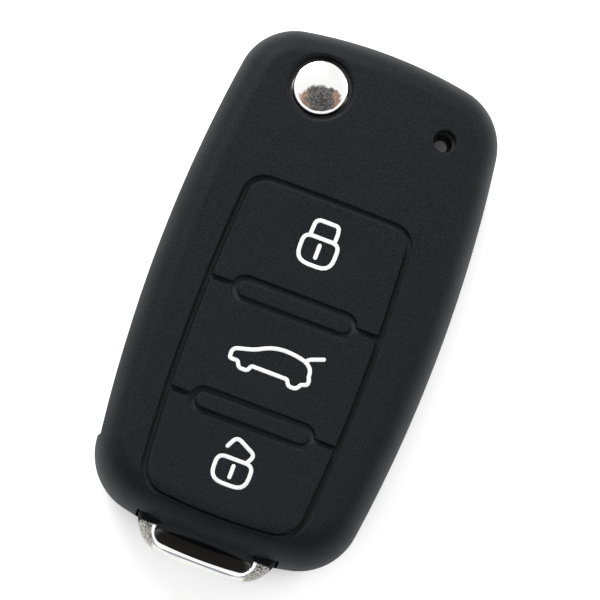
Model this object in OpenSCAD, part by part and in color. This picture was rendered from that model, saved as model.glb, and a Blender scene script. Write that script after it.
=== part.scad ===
// Folding car key in its silicone cover.
// X runs to the right, Y towards the end with the pivot, Z out of the button face.
// The origin is the middle of the cover's flat back.

/* [Silicone cover] */
// Length of the cover
cover_length = 77; // [76:0.5:79]
// Width at its widest
cover_width = 44; // [43.6:0.1:45]
// Thickness, back to front
cover_thickness = 18; // [17.8:0.1:19]
// Wall of the silicone
cover_wall = 1.5; // [1.4:0.05:1.6]
// Bow radius of the long sides
side_bow = 215; // [190:5:260]
// Bow radius of the top edge
top_bow = 69; // [62:1:80]
// Bow radius of the bottom edge
bottom_bow = 59; // [52:1:70]
// Corner radius seen from the front
corner_radius = 9.1; // [8.6:0.1:9.6]
// How far the rounded edge reaches in over the faces
edge_reach = 4.6; // [4.2:0.1:4.8]
// Height of the slot that lets the key swing out
swing_slot_height = 8.6; // [8.2:0.1:9]

/* [Button panel] */
// From the cover's top edge to the panel's top groove
panel_from_top = 24.7; // [24.4:0.1:25.6]
// From the panel's bottom groove to the cover's bottom edge
panel_from_bottom = 3; // [2.9:0.1:3.6]
// Width of the panel, groove to groove
panel_width = 26.5; // [26:0.1:27.2]
// Width of the grooves
groove_width = 0.8; // [0.7:0.05:1]
// Depth of the grooves
groove_depth = 0.9; // [0.7:0.05:1]
// Length of the two raised ribs between the pads
rib_length = 17.4; // [16.4:0.1:18.4]
// Height of the ribs along the cover
rib_height = 2.4; // [2:0.1:2.6]
// Groove around each rib
rib_groove = 0.86; // [0.8:0.02:1]
// Place of the upper rib down the panel, as a share of the panel's length
upper_rib_share = 0.334; // [0.33:0.001:0.338]
// Place of the lower rib down the panel, as a share of the panel's length
lower_rib_share = 0.686; // [0.682:0.001:0.69]
// Travel of the pads
pad_travel = 0.5; // [0.3:0.05:0.5]

/* [Keys under the pads] */
// Width of each rubber key
key_width = 15; // [13:0.2:15.6]
// Size of each rubber key along the cover
key_height = 6.8; // [6:0.1:7]
// Place of the lock key down the panel, as a share of the panel's length
lock_key_share = 0.134; // [0.131:0.001:0.138]
// Place of the boot key down the panel, as a share of the panel's length
boot_key_share = 0.507; // [0.503:0.001:0.511]
// Place of the unlock key down the panel, as a share of the panel's length
unlock_key_share = 0.823; // [0.819:0.001:0.827]

/* [Key case] */
// Wall of the plastic case
case_wall = 1.2; // [1:0.05:1.3]
// Thickness of its inner walls
rib_wall = 1; // [0.8:0.05:1.1]
// Diameter of the case screw's shank
screw_diameter = 1.8; // [1.6:0.1:2]
// Diameter of the screw's head
screw_head_diameter = 3.8; // [3.4:0.1:4]

/* [Pivot and release button] */
// From the top edge to the pivot
pivot_from_top = 9.4; // [9.2:0.1:9.8]
// From the cover's left side at its widest to the pivot
pivot_from_side = 14.4; // [14.2:0.1:14.6]
// Diameter of the release button
release_diameter = 8; // [7.6:0.1:8.2]
// How high the button stands at its middle
release_height = 18.35; // [18.2:0.05:18.6]
// Height of the button's dome
release_dome = 0.8; // [0.6:0.05:1]
// Travel of the release button
release_travel = 1.2; // [1:0.1:1.5]
// Diameter of the pivot pin
pivot_pin_diameter = 4.8; // [4.4:0.1:5]
// Diameter of the hole in the cover around the button
button_hole_diameter = 9.2; // [9:0.1:9.6]
// Diameter of that hole's soft rim
button_rim_diameter = 10; // [9.8:0.1:10.4]

/* [Blade] */
// Width of the blade
blade_width = 8.6; // [8.2:0.1:8.8]
// Thickness of the blade
blade_thickness = 2.9; // [2.6:0.1:3]
// From the folded blade's tip to the cover's bottom edge
blade_from_bottom = 10.1; // [10:0.1:13]
// Sideways from the pivot to the blade's middle
blade_offset = 6; // [5.8:0.1:6.1]
// Depth of the milled track on each face
track_depth = 0.8; // [0.6:0.05:1]
// Diameter of the hub
hub_diameter = 15.2; // [15:0.1:15.4]
// Height of the hub
hub_height = 7.2; // [7:0.1:7.4]
// Reach of the hub's neck from the pivot
neck_reach = 10.9; // [10.6:0.1:11.1]

/* [Lamp, battery and board] */
// From the top edge to the lamp
lamp_from_top = 10.8; // [10.5:0.1:11.2]
// From the middle line to the lamp
lamp_offset = 11.6; // [11.4:0.1:11.8]
// Diameter of the lamp hole
lamp_hole_diameter = 3.2; // [3:0.1:3.4]
// Diameter of the light guide
light_guide_diameter = 2; // [1.8:0.1:2.2]
// Diameter of the coin cell, as a share of the cover's width
cell_share = 0.4545; // [0.445:0.001:0.456]
// Thickness of the coin cell
cell_thickness = 3.2; // [2.5:0.1:3.2]
// Thickness of the circuit board
board_thickness = 1; // [0.8:0.1:1.2]

/* [Key ring loop] */
// How far the loop stands out of the cover
ring_projection = 3.5; // [3.2:0.1:4]
// Bow radius of the loop's end
ring_bow = 24; // [22:1:30]
// Width of the loop
ring_width = 21.6; // [21:0.1:22.4]
// Width of the gap for the ring
ring_gap_width = 15.8; // [15:0.1:16.2]
// Height of the loop, back to front
ring_height = 5.6; // [5:0.1:6]
// Thickness of the loop's outer bar
ring_bar = 1.25; // [1.1:0.05:1.4]

/* [Hidden] */

// Clearances, and how far a cut runs past what it cuts.
case_fit = 0.1;
running_gap = 0.2;
swing_gap = 0.3;
shaft_gap = 0.05;
seat_gap = 0.05;
key_gap = 0.3;
pad_slit = 0.13;
overrun = 0.6;

// How full the rounded edge is: two would be an ellipse.
edge_fullness = 2.2;
round_steps = 9;
rim_steps = 6;
smooth = 64;

silicone = "#2b2d30";
plastic = "#1c1c1e";
rubber = "#3c3d40";
steel = "#b9bcc0";
brass = "#c9a55a";

// Places that follow from the sizes above.
pivot_side = -1;
top_edge = cover_length / 2;
bottom_edge = -cover_length / 2;
middle_z = cover_thickness / 2;
cavity_back = cover_wall;
cavity_front = cover_thickness - cover_wall;
case_back = cavity_back + case_fit;
case_front = cavity_front - case_fit;
floor_z = case_back + case_wall;
roof_z = case_front - case_wall;
case_inset = cover_wall + case_fit;
inner_inset = case_inset + case_wall;
pivot = [pivot_side * (cover_width / 2 - pivot_from_side), top_edge - pivot_from_top];
lamp = [lamp_offset, top_edge - lamp_from_top];

// Panel, ribs and pads.
panel_side_bow = 272;
panel_top_bow = 400;
panel_bottom_bow = 80;
panel_top_corner = 3;
panel_bottom_corner = 4.3;
panel_bow_rise = 2.4;
panel_length = cover_length - panel_from_top - panel_from_bottom;
panel_top = top_edge - panel_from_top;
panel_middle = panel_top - panel_length / 2;
rib_places = [for (share = [upper_rib_share, lower_rib_share]) panel_top - share * panel_length];
key_places = [for (share = [lock_key_share, boot_key_share, unlock_key_share]) panel_top - share * panel_length];
web_top = cover_thickness - groove_depth;
pad_foot_margin = 0.6;

// Levels of the pieces inside.
hub_bottom = middle_z - hub_height / 2;
hub_top = middle_z + hub_height / 2;
chamber_bottom = hub_bottom - running_gap;
chamber_top = hub_top + running_gap;
blade_reach = cover_length - pivot_from_top - blade_from_bottom;
blade_bottom = middle_z - blade_thickness / 2;
blade_top = middle_z + blade_thickness / 2;
blade_way = running_gap * 2;
channel_bottom = blade_bottom - blade_way;
channel_top = blade_top + blade_way;
board_drop = 1.4;
board_bottom = middle_z - board_drop;
board_top = board_bottom + board_thickness;
switch_height = 1.8;
switch_top = board_top + switch_height;
mat_top = roof_z - case_fit;
mat_thickness = 1.1;
mat_bottom = mat_top - mat_thickness;
cell_top = floor_z + cell_thickness;

// Release button, spring and pin.
flange_diameter = 9.8;
flange_thickness = 1.4;
flange_top = roof_z - seat_gap;
flange_bottom = flange_top - flange_thickness;
button_hollow_diameter = 6.2;
spring_pocket_diameter = 10.4;
spring_wire = 0.8;
spring_turns = 4;
spring_middle_diameter = 8.2;
pocket_wall = 0.45;
pocket_base = 1.8;
pocket_floor = hub_bottom + pocket_base;
pin_sink = 1.6;
pin_seat = chamber_bottom - pin_sink;
pin_rise = 0.45;
pin_top = flange_bottom + pin_rise;

// Battery, clips and small parts on the board.
cell_diameter = cover_width * cell_share;
door_rim = 0.9;
door_step = 0.3;
door_from_edge = 1.3;
cell_from_bottom = 25;
cell_from_side = edge_reach + door_from_edge + door_rim + cell_diameter / 2;
cell_place = [cover_width / 2 - cell_from_side, bottom_edge + cell_from_bottom];
holder_wall = rib_wall;
clip_sheet = 0.3;
clip_width = 4;
clip_arm_share = 0.2;
board_left = pivot.x - blade_offset + blade_width / 2 + rib_wall;

// Key ring loop.
ring_tail = 4.1;
ring_gap_depth = 3.2;
ring_corner = 2.6;
ring_gap_corner = 0.6;
ring_plate_thickness = 2;
ring_plate_length = 4.6;
ring_end = bottom_edge - ring_projection;
ring_peg_diameter = 2.2;
ring_peg_wall = 0.8;
ring_peg_spread = 10;
ring_plate_middle = bottom_edge + cover_wall + case_wall + ring_tail - 2 * rib_wall;
ring_pegs = [[-ring_peg_spread / 2, ring_plate_middle], [ring_peg_spread / 2, ring_plate_middle]];
screw_boss_wall = 1.3;
screw_in = 9.4;
screw_place = [cover_width / 2 - screw_in, bottom_edge + screw_in];
board_low = ring_plate_middle + ring_plate_length / 2 + key_gap;

// Outline of a bowed oblong with round corners: eight arcs that run into each other.
function corner_middle(side, side_r, end, end_r, corner, way) =
    let (a = side_r - corner,
         b = end_r - corner,
         span = norm(end - side),
         along = (a * a - b * b + span * span) / (2 * span),
         across = sqrt(a * a - along * along),
         u = (end - side) / span)
    side + along * u + way * across * [-u.y, u.x];
function bearing(from, to) = atan2(to.y - from.y, to.x - from.x);
function flip(p) = [-p.x, p.y];
function arcs_of(middle, w, l, rise, side_r, top_r, bottom_r, top_corner, bottom_corner) =
    let (side = [w / 2 - side_r, middle + rise],
         top = [0, middle + l / 2 - top_r],
         bottom = [0, middle - l / 2 + bottom_r],
         upper = corner_middle(side, side_r, top, top_r, top_corner, 1),
         lower = corner_middle(side, side_r, bottom, bottom_r, bottom_corner, -1),
         a = bearing(side, lower),
         b = bearing(side, upper),
         c = bearing(top, upper),
         d = bearing(bottom, lower))
    [[side, side_r, a, b],
     [upper, top_corner, b, c],
     [top, top_r, c, 180 - c],
     [flip(upper), top_corner, 180 - c, 180 - b],
     [flip(side), side_r, 180 - b, 180 - a],
     [flip(lower), bottom_corner, 180 - a, 180 - d],
     [bottom, bottom_r, 180 - d, 360 + d],
     [lower, bottom_corner, 360 + d, 360 + a]];
function outline(arcs, inset, steps) =
    [for (arc = arcs)
        for (i = [0:steps - 1])
            let (turn = arc[2] + (arc[3] - arc[2]) * i / steps)
            arc[0] + (arc[1] - inset) * [cos(turn), sin(turn)]];

cover_arcs = arcs_of(0, cover_width, cover_length, 0, side_bow, top_bow, bottom_bow,
                     corner_radius, corner_radius);
panel_arcs = arcs_of(panel_middle, panel_width, panel_length, panel_bow_rise, panel_side_bow,
                     panel_top_bow, panel_bottom_bow, panel_top_corner, panel_bottom_corner);
ring_arcs = arcs_of((bottom_edge + ring_tail + ring_end) / 2, ring_width, ring_projection + ring_tail, 0,
                    side_bow, top_bow, ring_bow, ring_gap_corner, ring_corner);
ring_gap_arcs = arcs_of(ring_end + ring_bar + ring_gap_depth / 2, ring_gap_width, ring_gap_depth, 0,
                        side_bow, top_bow, ring_bow - ring_bar, ring_gap_corner, ring_gap_corner);

// Section of the rounded edge, as pairs of inset and height, between two angles.
function fuller(v) = sign(v) * pow(abs(v), 2 / edge_fullness);
function rim(inset, from, to, steps) =
    [for (i = [0:steps])
        let (turn = from + (to - from) * i / steps)
        [edge_reach - (edge_reach - inset) * fuller(cos(turn)),
         middle_z + (middle_z - inset) * fuller(sin(turn))]];

// Skin over a stack of outlines, one at each pair of inset and height.
module loft(levels) {
    rings = [for (s = levels) [for (p = outline(cover_arcs, s.x, round_steps)) [p.x, p.y, s.y]]];
    count = len(rings[0]);
    last = (len(rings) - 1) * count;
    polyhedron(
        [for (r = rings) for (p = r) p],
        concat(
            [[for (i = [0:count - 1]) i]],
            [for (k = [0:len(rings) - 2])
                for (i = [0:count - 1])
                    let (j = (i + 1) % count)
                    [k * count + i, (k + 1) * count + i, (k + 1) * count + j]],
            [for (k = [0:len(rings) - 2])
                for (i = [0:count - 1])
                    let (j = (i + 1) % count)
                    [k * count + i, (k + 1) * count + j, k * count + j]],
            [[for (i = [count - 1:-1:0]) last + i]]),
        convexity = 4);
}

// Upright block on a flat shape between two heights.
module between(low, high) {
    translate([0, 0, low]) linear_extrude(high - low) children();
}

// Upright cylinder between two heights.
module post(place, low, high, d) {
    translate([place.x, place.y, low]) cylinder(d = d, h = high - low, $fn = smooth);
}

// Flat oblong between two corners.
module field(a, b) {
    translate(a) square(b - a);
}

// Flat oblong around a place.
module around(place, w, h) {
    translate(place) square([w, h], center = true);
}

// Panel: pads, ribs and the grooves between them.
function stadium(place, l, h) =
    [for (i = [0:2 * round_steps + 1])
        let (end = i > round_steps ? -1 : 1,
             turn = -90 + 180 * (i - (end < 0 ? round_steps + 1 : 0)) / round_steps,
             arm = [end * (l - h) / 2, 0])
        place + arm + end * h / 2 * [cos(turn), sin(turn)]];
module panel_shape(inset) {
    polygon(outline(panel_arcs, inset, round_steps));
}
module rib_shape(i, grow) {
    polygon(stadium([0, rib_places[i]], rib_length + 2 * grow, rib_height + 2 * grow));
}
module pad_shape(i, grow) {
    top = i == 0 ? panel_middle + panel_length : rib_places[i - 1] - groove_width / 2 + grow;
    low = i == 2 ? panel_middle - panel_length : rib_places[i] + groove_width / 2 - grow;
    difference() {
        intersection() {
            panel_shape(groove_width / 2 - grow);
            field([-panel_width, low], [panel_width, top]);
        }
        if (i > 0) rib_shape(i - 1, rib_groove - grow);
        if (i < 2) rib_shape(i, rib_groove - grow);
    }
}
module pad(i) {
    color(silicone) union() {
        between(web_top, cover_thickness) pad_shape(i, 0);
        between(cavity_front, web_top + groove_depth / 2)
            around([0, key_places[i]], key_width - 2 * pad_foot_margin, key_height - 2 * pad_foot_margin);
    }
}
module rubber_key(i) {
    stem = key_height / 2;
    color(rubber) union() {
        between(mat_bottom, cavity_front) around([0, key_places[i]], key_width, key_height);
        post([0, key_places[i]], switch_top + pad_travel + seat_gap, mat_top, stem);
    }
}

// Room that the hub, its neck and the blade swing through, seen from the front.
module chamber(grow) {
    reach = neck_reach + swing_gap + grow;
    inner = blade_offset - blade_width / 2 - running_gap - grow;
    translate(pivot) union() {
        circle(d = hub_diameter + 2 * (swing_gap + grow), $fn = smooth);
        intersection() {
            circle(r = reach, $fn = smooth);
            union() {
                field([-2 * reach, -running_gap - grow], [2 * reach, 2 * reach]);
                field([-2 * reach, -2 * reach], [-inner, 2 * reach]);
            }
        }
    }
}
module channel(grow) {
    inner = blade_offset - blade_width / 2 - running_gap - grow;
    translate(pivot) field([-cover_width, -blade_reach - swing_gap - grow], [-inner, 0]);
}
module mouth() {
    translate(pivot) field([-cover_width, -running_gap], [blade_offset + blade_width / 2 + swing_gap, cover_width]);
}

// Cover: thin shell with windows for the pads, holes for button and lamp, and the two side openings.
module sleeve() {
    slot_low = middle_z - swing_slot_height / 2;
    slot_high = middle_z + swing_slot_height / 2;
    slot_right = pivot.x + blade_offset + blade_width / 2 + swing_gap + case_fit;
    slot_end = pivot.y - blade_reach - 2 * swing_gap;
    color(silicone) difference() {
        loft(rim(0, -90, 90, 2 * rim_steps));
        loft(rim(cover_wall, -90, 90, 2 * rim_steps));
        between(web_top, cover_thickness + overrun) difference() {
            panel_shape(-groove_width / 2);
            rib_shape(0, 0);
            rib_shape(1, 0);
        }
        for (i = [0:2]) between(cavity_front - overrun, cover_thickness) pad_shape(i, pad_slit);
        post(pivot, cavity_front - overrun, cover_thickness + overrun, button_hole_diameter);
        translate([pivot.x, pivot.y, web_top])
            cylinder(d1 = 2 * button_hole_diameter - button_rim_diameter, d2 = button_rim_diameter,
                     h = groove_depth, $fn = smooth);
        post(lamp, cavity_front - overrun, cover_thickness + overrun, lamp_hole_diameter);
        between(slot_low, slot_high) field([-cover_width, slot_end], [corner_radius - cover_width / 2, cover_length]);
        between(slot_low, slot_high) field([-cover_width, top_edge - corner_radius], [slot_right, cover_length]);
        between(middle_z - ring_height / 2 - swing_gap, middle_z + ring_height / 2 + swing_gap)
            around([0, bottom_edge], ring_width + 2 * swing_gap, 2 * edge_reach);
    }
}
module lock_pad() {
    pad(0);
}
module boot_pad() {
    pad(1);
}
module unlock_pad() {
    pad(2);
}

// Case: two shells that meet in the middle plane.
module swing_room() {
    between(chamber_bottom, chamber_top) chamber(0);
    between(channel_bottom, channel_top) channel(0);
    between(channel_bottom, channel_top) mouth();
}
module ring_room() {
    between(middle_z - ring_height / 2 - running_gap, middle_z + ring_height / 2 + running_gap)
        field([-ring_width / 2 - running_gap, bottom_edge - overrun],
              [ring_width / 2 + running_gap, bottom_edge + ring_tail + running_gap]);
}
module upper_case() {
    boss = screw_diameter + 2 * screw_boss_wall;
    guide_boss = light_guide_diameter + 2 * rib_wall;
    color(plastic) difference() {
        loft(rim(case_inset, 0, 90, rim_steps));
        difference() {
            loft(concat([[inner_inset, middle_z - overrun]], rim(inner_inset, 0, 90, rim_steps)));
            between(middle_z - overrun, roof_z + overrun) chamber(rib_wall);
            between(middle_z - overrun, channel_top + rib_wall) channel(rib_wall);
            post(screw_place, middle_z - overrun, roof_z + overrun, boss);
            for (p = ring_pegs)
                post(p, middle_z + ring_plate_thickness / 2, roof_z + overrun, ring_peg_diameter + 2 * ring_peg_wall);
            post(lamp, led_top + guide_collar + 2 * running_gap, roof_z + overrun, guide_boss);
        }
        swing_room();
        ring_room();
        post(pivot, hub_top, roof_z, flange_diameter + 4 * shaft_gap);
        post(pivot, roof_z - overrun, case_front + overrun, release_diameter + 4 * shaft_gap);
        post(lamp, middle_z, guide_top, light_guide_diameter + 2 * shaft_gap);
        post(lamp, guide_top, case_front + overrun, lamp_hole_diameter);
        post(screw_place, middle_z, screw_end + running_gap, screw_diameter + seat_gap);
        for (y = key_places)
            between(roof_z - overrun, case_front + overrun)
                around([0, y], key_width + 2 * key_gap, key_height + 2 * key_gap);
    }
}
module lower_case() {
    boss = screw_diameter + 2 * screw_boss_wall;
    holder = cell_diameter + 4 * case_fit;
    color(plastic) difference() {
        loft(rim(case_inset, -90, 0, rim_steps));
        difference() {
            loft(concat(rim(inner_inset, -90, 0, rim_steps), [[inner_inset, middle_z + overrun]]));
            between(floor_z - overrun, middle_z + overrun) chamber(rib_wall);
            between(channel_bottom - rib_wall, middle_z + overrun) channel(rib_wall);
            between(floor_z - overrun, middle_z + overrun) difference() {
                channel(rib_wall);
                channel(0);
            }
            post(screw_place, floor_z - overrun, middle_z + overrun, boss);
            for (p = ring_pegs) {
                post(p, floor_z - overrun, middle_z - ring_plate_thickness / 2, ring_peg_diameter + 2 * ring_peg_wall);
                post(p, floor_z - overrun, middle_z + ring_plate_thickness / 2, ring_peg_diameter);
            }
            for (p = board_posts) post(p, floor_z - overrun, board_bottom, post_diameter);
            difference() {
                post(cell_place, floor_z - overrun, cell_top + case_fit, holder + 2 * holder_wall);
                post(cell_place, floor_z - 2 * overrun, cell_top + overrun, holder);
                between(floor_z + clip_sheet, cell_top + overrun)
                    around(cell_place + [holder / 2, 0], holder / 2, clip_width + 2 * running_gap);
            }
        }
        swing_room();
        ring_room();
        post(pivot, pin_seat, hub_bottom, pivot_pin_diameter + shaft_gap);
        post(screw_place, case_back - overrun, case_back + screw_head_height + case_fit,
             screw_head_diameter + 2 * case_fit);
        post(screw_place, case_back, middle_z, screw_diameter + 2 * case_fit);
        post(cell_place, case_back - overrun, case_back + door_step_height, cell_diameter + 2 * door_rim + 2 * case_fit);
        post(cell_place, case_back, floor_z + overrun, cell_diameter + 2 * door_step + 2 * case_fit);
    }
}
module battery_door() {
    coin_slot_length = cell_diameter / 2;
    coin_slot_width = 1.6;
    coin_slot_depth = case_wall / 2;
    color(plastic) difference() {
        union() {
            post(cell_place, case_back, case_back + door_step_height, cell_diameter + 2 * door_rim);
            post(cell_place, case_back, floor_z, cell_diameter);
        }
        between(case_back - overrun, case_back + coin_slot_depth)
            polygon(stadium(cell_place, coin_slot_length, coin_slot_width));
    }
}

// Levels and places that the case needs too.
led_height = 1.2;
led_top = board_top + led_height;
guide_collar = 0.6;
guide_top = roof_z - case_wall;
screw_head_height = 0.9;
screw_end = mat_bottom;
door_step_height = case_wall / 2;
post_diameter = 2.4;
post_from_left = 3.4;
post_from_right = 7;
post_above = 27.5;
post_below_left = 14.5;
post_below_right = 8.5;
post_left = board_left + post_from_left;
post_right = cover_width / 2 - post_from_right;
board_posts = [[post_left, cell_place.y + post_above], [post_right, cell_place.y + post_above],
               [post_left, cell_place.y - post_below_left], [post_right, cell_place.y - post_below_right]];

// Rubber mat that carries the keys, under the roof of the case.
module keypad_mat() {
    margin = 2.4;
    low = key_places[2] - key_height / 2 - margin / 2;
    high = key_places[0] + key_height / 2 + margin;
    color(rubber) between(mat_bottom, mat_top) difference() {
        field([-key_width / 2 - margin, low], [key_width / 2 + margin, high]);
        for (y = key_places) around([0, y], key_width + 2 * key_gap, key_height + 2 * key_gap);
    }
}
module lock_key() {
    rubber_key(0);
}
module boot_key() {
    rubber_key(1);
}
module unlock_key() {
    rubber_key(2);
}

// Circuit board and what is soldered to it.
board_margin = 0.6;
board_inset = inner_inset + board_margin;
module circuit_board() {
    corner = pivot + [neck_reach + swing_gap + 2 * rib_wall, -hub_diameter / 2 - swing_gap - 2 * rib_wall];
    color("#1f5b3a") between(board_bottom, board_top) difference() {
        intersection() {
            polygon(outline(cover_arcs, board_inset, round_steps));
            union() {
                field([board_left + running_gap, board_low], [cover_width, corner.y]);
                field([corner.x, corner.y - overrun], [cover_width, cover_length]);
            }
        }
        translate(screw_place) circle(d = screw_diameter + 2 * screw_boss_wall + 2 * key_gap, $fn = smooth);
    }
}
module tact_switch(i) {
    side = 4.4;
    body = switch_height * 2 / 3;
    color(steel) union() {
        between(board_top, board_top + body) around([0, key_places[i]], side, side);
        post([0, key_places[i]], board_top, switch_top, side / 2);
    }
}
module lock_switch() {
    tact_switch(0);
}
module boot_switch() {
    tact_switch(1);
}
module unlock_switch() {
    tact_switch(2);
}
chip_side = 5;
chip_height = 0.9;
module radio_chip() {
    color("#101010") between(board_top, board_top + chip_height)
        around([lamp.x, key_places[1] + 3 * chip_side / 2], chip_side, chip_side);
}
crystal_length = 3.2;
crystal_width = 2.5;
crystal_height = 0.7;
module crystal() {
    color(steel) between(board_top, board_top + crystal_height)
        around([lamp.x, key_places[1] + 5 * chip_side / 2], crystal_length, crystal_width);
}
coil_length = 9;
coil_width = 3.2;
coil_height = 2.8;
coil_flange = 1;
coil_winding = 0.4;
coil_from_side = 10.4;
module transponder_coil() {
    place = [cover_width / 2 - coil_from_side, key_places[0] + coil_length];
    color("#3a2a20") union() {
        between(board_top, board_top + coil_height) around(place, coil_length, coil_width - 2 * coil_winding);
        for (s = [-1, 1])
            between(board_top, board_top + coil_height)
                around(place + [s * (coil_length - coil_flange) / 2, 0], coil_flange, coil_width);
    }
}
led_base_length = 3;
led_base_width = 1.8;
module indicator_led() {
    lens_diameter = 1.6;
    color("#d8d8d0") union() {
        between(board_top, board_top + led_height / 2) around(lamp, led_base_length, led_base_width);
        post(lamp, board_top, led_top, lens_diameter);
    }
}
module light_guide() {
    color("#9aa0a6") union() {
        post(lamp, led_top + seat_gap, guide_top, light_guide_diameter);
        post(lamp, led_top + seat_gap, led_top + seat_gap + guide_collar, light_guide_diameter + guide_collar);
    }
}

// Coin cell, with its can, its insulating ring and its cap, and the two clips under the board.
module coin_cell() {
    can_rim = 1.1;
    step = 0.35;
    r = cell_diameter / 2;
    color(steel) translate([cell_place.x, cell_place.y, floor_z]) rotate_extrude($fn = smooth)
        polygon([[0, 0], [r - step, 0], [r, step], [r, cell_thickness - 2 * step],
                 [r - can_rim, cell_thickness - step], [r - can_rim - step, cell_thickness], [0, cell_thickness]]);
}
module cell_clip_plus() {
    r = cell_diameter / 2 + case_fit;
    color(brass) translate([cell_place.x, cell_place.y + clip_width / 2, 0]) rotate([90, 0, 0])
        linear_extrude(clip_width)
        polygon([[r, floor_z + 2 * clip_sheet], [r + clip_sheet, floor_z + 2 * clip_sheet],
                 [r + clip_sheet, board_bottom - clip_sheet], [r + 5 * clip_sheet, board_bottom - clip_sheet],
                 [r + 5 * clip_sheet, board_bottom], [r, board_bottom]]);
}
module cell_clip_minus() {
    arm = cell_diameter * clip_arm_share;
    color(brass) translate([cell_place.x, cell_place.y + clip_width / 2, 0]) rotate([90, 0, 0])
        linear_extrude(clip_width)
        polygon([[-2 * arm, board_bottom - clip_sheet], [-arm, board_bottom - clip_sheet],
                 [arm / 2, cell_top], [arm, cell_top], [arm, cell_top + clip_sheet],
                 [arm / 2, cell_top + clip_sheet], [-arm, board_bottom], [-2 * arm, board_bottom]]);
}

// Blade with a milled wave on both faces, and the hub that carries it.
tang_side_share = 0.27;
tang_start = 6.2;
tang_width = blade_width * 2 * tang_side_share;
pin_back = 1.7;
blade_pin_diameter = 1.6;
tip_length = 4.6;
tip_width = 3.2;
track_width = 2.6;
track_wave = 0.55;
track_pitch = 9;
track_steps = 40;
module blade_space() {
    translate([pivot.x - blade_offset, pivot.y, 0]) children();
}
module blade_outline() {
    difference() {
        blade_space() polygon([[-blade_width / 2, 0], [-blade_width / 2, tip_length - blade_reach],
                               [-tip_width / 2, -blade_reach], [tip_width / 2, -blade_reach],
                               [blade_width / 2, tip_length - blade_reach], [blade_width / 2, 0]]);
        translate(pivot) circle(r = neck_reach + shaft_gap, $fn = smooth);
    }
}
function track_edge(side, from, to) =
    [for (i = [0:track_steps])
        let (y = from + (to - from) * i / track_steps)
        [side * track_width / 2 + track_wave * sin(360 * y / track_pitch), y]];
module track() {
    start = -neck_reach - 2 * tip_length;
    end = tip_length - blade_reach;
    blade_space() polygon(concat(track_edge(-1, start, end), track_edge(1, end, start)));
}
module key_blade() {
    color(steel) difference() {
        union() {
            between(blade_bottom, blade_top) blade_outline();
            between(blade_bottom, blade_top) blade_space()
                field([-tang_width / 2, -neck_reach - tip_length / 2], [tang_width / 2, -tang_start]);
        }
        between(blade_top - track_depth, blade_top + overrun) track();
        between(blade_bottom - overrun, blade_bottom + track_depth) track();
        post(pin_place, hub_bottom, hub_top, blade_pin_diameter + 2 * shaft_gap);
    }
}
pin_place = pivot - [blade_offset, tang_start + pin_back];
module blade_hub() {
    edge = 0.5;
    r = hub_diameter / 2;
    bore = pivot_pin_diameter + 2 * shaft_gap;
    color(steel) difference() {
        union() {
            translate([pivot.x, pivot.y, hub_bottom]) rotate_extrude($fn = smooth)
                polygon([[0, 0], [r - edge, 0], [r, edge], [r, hub_height - edge],
                         [r - edge, hub_height], [0, hub_height]]);
            between(hub_bottom, hub_top) intersection() {
                translate(pivot) circle(r = neck_reach, $fn = smooth);
                blade_space() field([-blade_width / 2, -neck_reach - tip_length], [blade_width / 2, 0]);
            }
        }
        between(blade_bottom - shaft_gap, blade_top + shaft_gap) blade_space()
            field([-tang_width / 2 - shaft_gap, -neck_reach - tip_length], [tang_width / 2 + shaft_gap, shaft_gap - tang_start]);
        post(pivot, hub_bottom - overrun, hub_top + overrun, bore);
        difference() {
            post(pivot, pocket_floor, hub_top + overrun, spring_pocket_diameter);
            post(pivot, pocket_floor - overrun, hub_top + 2 * overrun, bore + 2 * pocket_wall);
        }
        post(pin_place, hub_bottom - overrun, hub_top + overrun, blade_pin_diameter + 2 * shaft_gap);
    }
}
module blade_pin() {
    color(steel) post(pin_place, hub_bottom + shaft_gap, hub_top - shaft_gap, blade_pin_diameter);
}

// Coil spring between the hub's pocket and the release button.
spring_ring_sides = 8;
spring_ring_steps = 20;
module flip_spring() {
    low = pocket_floor + spring_wire / 2 + seat_gap;
    high = flange_bottom - spring_wire / 2 - seat_gap;
    rings = spring_turns * spring_ring_steps;
    sides = spring_ring_sides;
    last = rings * sides;
    points = [for (k = [0:rings])
        for (s = [0:sides - 1])
            let (turn = 360 * k / spring_ring_steps,
                 a = 360 * s / sides,
                 out = spring_middle_diameter / 2 + spring_wire / 2 * cos(a))
            [out * cos(turn), out * sin(turn), low + (high - low) * k / rings + spring_wire / 2 * sin(a)]];
    color(steel) translate([pivot.x, pivot.y, 0]) polyhedron(points, concat(
        [[for (s = [0:sides - 1]) s]],
        [for (k = [0:rings - 1])
            for (s = [0:sides - 1])
                let (n = (s + 1) % sides)
                [k * sides + s, (k + 1) * sides + s, (k + 1) * sides + n]],
        [for (k = [0:rings - 1])
            for (s = [0:sides - 1])
                let (n = (s + 1) % sides)
                [k * sides + s, (k + 1) * sides + n, k * sides + n]],
        [[for (s = [sides - 1:-1:0]) last + s]]), convexity = 10);
}

// Release button: domed cap, hollow under it, with a flange that the case roof holds back.
module release_button() {
    cap = release_diameter / 2;
    ball = (cap * cap + release_dome * release_dome) / (2 * release_dome);
    hollow_top = pin_top + release_travel + running_gap;
    color(steel) difference() {
        union() {
            intersection() {
                post(pivot, flange_bottom, release_height + overrun, release_diameter);
                translate([pivot.x, pivot.y, release_height - ball]) sphere(r = ball, $fn = smooth);
            }
            post(pivot, flange_bottom, flange_top, flange_diameter);
        }
        post(pivot, flange_bottom - overrun, hollow_top, button_hollow_diameter);
    }
}
module pivot_pin() {
    color(steel) post(pivot, pin_seat, pin_top, pivot_pin_diameter);
}

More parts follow.
